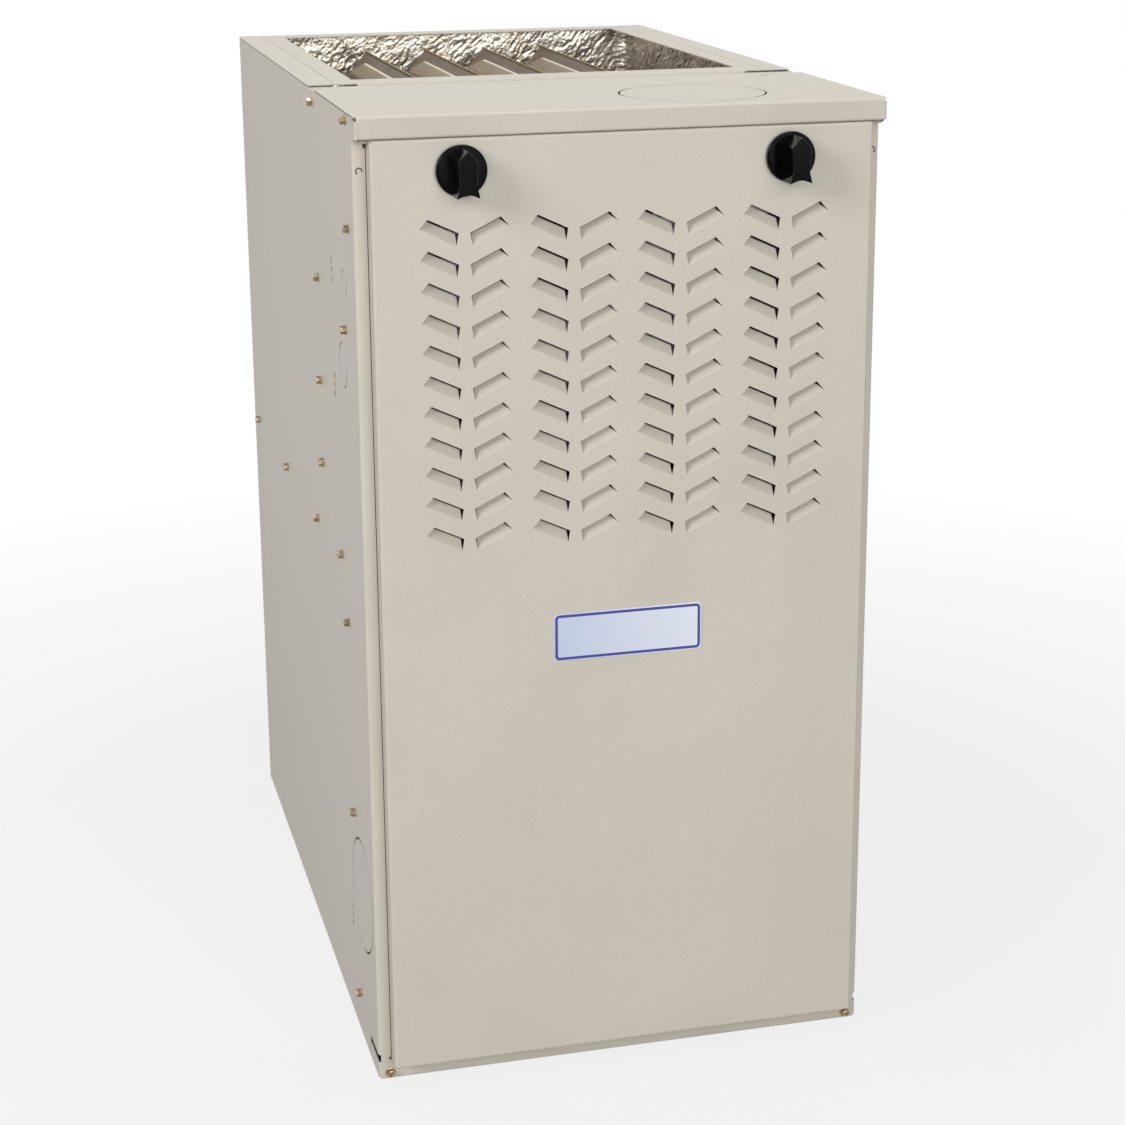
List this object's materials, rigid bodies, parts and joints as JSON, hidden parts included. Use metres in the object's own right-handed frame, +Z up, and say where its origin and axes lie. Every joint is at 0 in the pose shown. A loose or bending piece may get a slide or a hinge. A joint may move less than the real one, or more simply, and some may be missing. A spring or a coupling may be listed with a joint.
{
  "type": "forced air gas furnace",
  "caption": "Upright sheet-metal gas furnace cabinet with louvred lift-off front door, quarter-turn knobs, open top supply outlet, clamshell heat exchanger, burners, inducer and blower",
  "frame": {"origin": "centre of the cabinet's base, the cabinet counted without its door", "axes": "+Z up, the door faces -Y, +X to the right of someone facing the door"},
  "size_m": [0.4544, 0.7643, 0.8466],
  "materials": {
    "cabinet_paint": "baked polyester paint, satin",
    "galvanised": "galvanised sheet steel",
    "cell_steel": "aluminised steel, heat-tinted",
    "screw_zinc": "yellow zinc plating",
    "bright_steel": "ground steel",
    "foil_blanket": "glass-fibre blanket faced with aluminium foil",
    "knob_plastic": "black, polished",
    "black_plastic": "black, moulded",
    "motor_paint": "black enamel",
    "plate_metal": "brushed, with a thin blue inset border",
    "cast_metal": "die cast",
    "pipe_paint": "black pipe",
    "brass": "turned",
    "board_green": "printed circuit board",
    "core_steel": "varnished lamination core",
    "hose_red": "silicone hose",
    "control_red": "red, moulded",
    "switch_white": "white, moulded",
    "igniter_ceramic": "unglazed",
    "sight_glass": "clear"
  },
  "bodies": {
    "cabinet": {"casing_wrap": "cabinet_paint", "flue_plate": "cabinet_paint", "cross_rail": "cabinet_paint", "base_strip": "cabinet_paint", "base_panel": "galvanised", "header_rail": "galvanised", "side_screws": "screw_zinc", "strip_screws": "screw_zinc", "foil_liner": "foil_blanket", "latch_clips": "bright_steel", "cell_panel": "galvanised", "cell_1": "cell_steel", "cell_2": "cell_steel", "cell_3": "cell_steel", "cell_4": "cell_steel", "cell_support": "galvanised", "collector_box": "galvanised", "inducer_housing": "black_plastic", "inducer_motor": "motor_paint", "vent_elbow": "galvanised", "pressure_switch": "black_plastic", "pressure_hose": "hose_red", "limit_switch": "black_plastic", "burner_rack": "galvanised", "burner_1": "cell_steel", "burner_2": "cell_steel", "burner_3": "cell_steel", "burner_4": "cell_steel", "igniter": "igniter_ceramic", "flame_sensor": "bright_steel", "rollout_switch": "black_plastic", "gas_manifold": "pipe_paint", "gas_orifices": "brass", "gas_valve": "cast_metal", "blower_shelf": "galvanised", "blower_housing": "galvanised", "blower_motor": "motor_paint", "motor_mount": "galvanised", "capacitor": "cast_metal", "inner_panel": "cabinet_paint", "inner_panel_screws": "screw_zinc", "sight_glass": "sight_glass", "control_bracket": "galvanised", "control_board": "board_green", "transformer": "core_steel", "junction_box": "galvanised", "door_switch": "switch_white"},
    "door": {"outer_door": "cabinet_paint", "nameplate": "plate_metal"},
    "knob_left": {"knob_left": "knob_plastic", "knob_left_retainer": "bright_steel"},
    "knob_right": {"knob_right": "knob_plastic", "knob_right_retainer": "bright_steel"},
    "blower_rotor": {"blower_wheel": "galvanised", "blower_shaft": "bright_steel"},
    "inducer_rotor": {"inducer_wheel": "galvanised", "inducer_shaft": "bright_steel"},
    "gas_valve_lever": {"gas_valve_lever": "control_red"},
    "rollout_reset": {"rollout_reset": "control_red"},
    "door_switch_plunger": {"door_switch_plunger": "black_plastic"}
  },
  "joints": [
    {"name": "door_tilt", "type": "hinge", "parent": "cabinet", "child": "door", "pos_m": [0, -0.3575, 0.0174], "axis": [1, 0, 0], "range_deg": [0, 30]},
    {"name": "knob_left_turn", "type": "hinge", "parent": "door", "child": "knob_left", "pos_m": [-0.1378, -0.38, 0.801], "axis": [0, -1, 0], "range_deg": [-90, 0]},
    {"name": "knob_right_turn", "type": "hinge", "parent": "door", "child": "knob_right", "pos_m": [0.1378, -0.38, 0.801], "axis": [0, -1, 0], "range_deg": [0, 90]},
    {"name": "blower_spin", "type": "hinge", "parent": "cabinet", "child": "blower_rotor", "pos_m": [0, 0.042, 0.236], "axis": [1, 0, 0], "continuous": true},
    {"name": "inducer_spin", "type": "hinge", "parent": "cabinet", "child": "inducer_rotor", "pos_m": [-0.03, -0.216, 0.742], "axis": [0, 1, 0], "continuous": true},
    {"name": "gas_valve_lever_turn", "type": "hinge", "parent": "cabinet", "child": "gas_valve_lever", "pos_m": [0.157, -0.27, 0.532], "axis": [0, 0, 1], "range_deg": [0, 90]},
    {"name": "rollout_reset_press", "type": "slide", "parent": "cabinet", "child": "rollout_reset", "axis": [0, 1, 0], "range_m": [0, 0.0015], "stiffness_N_per_m": 600},
    {"name": "door_switch_press", "type": "slide", "parent": "cabinet", "child": "door_switch_plunger", "axis": [0, 1, 0], "range_m": [0, 0.0015], "stiffness_N_per_m": 600}
  ]
}
